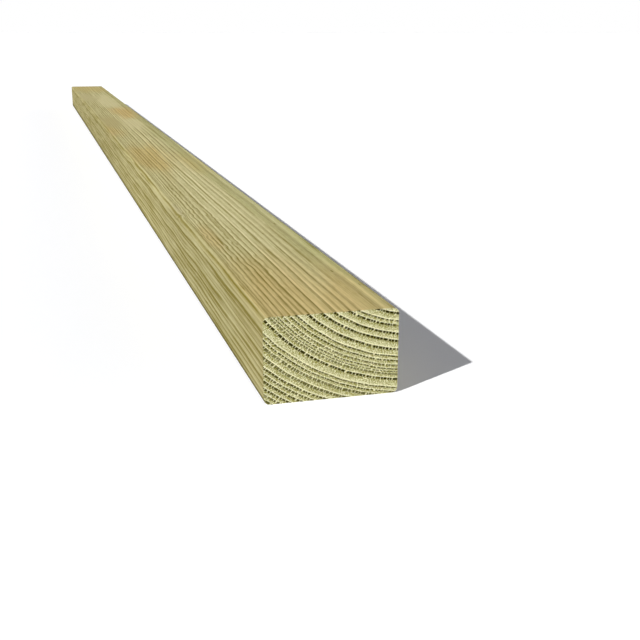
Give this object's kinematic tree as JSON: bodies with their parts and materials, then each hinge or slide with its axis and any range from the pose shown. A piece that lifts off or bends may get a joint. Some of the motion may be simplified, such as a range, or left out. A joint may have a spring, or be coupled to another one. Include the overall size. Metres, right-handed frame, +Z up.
{
  "type": "timber plank",
  "caption": "Straight planed softwood plank of rectangular section, pressure-treated, with rounded long edges and square sawn ends.",
  "frame": {"origin": "centre of the bottom face, on the floor that the plank lies on", "axes": "+X along the grain, +Y across the width, +Z up through the thickness"},
  "size_m": [2, 0.07, 0.045],
  "materials": {
    "treated_softwood": "planed, pressure-treated softwood"
  },
  "bodies": {
    "root": {"plank": "treated_softwood"}
  },
  "joints": []
}
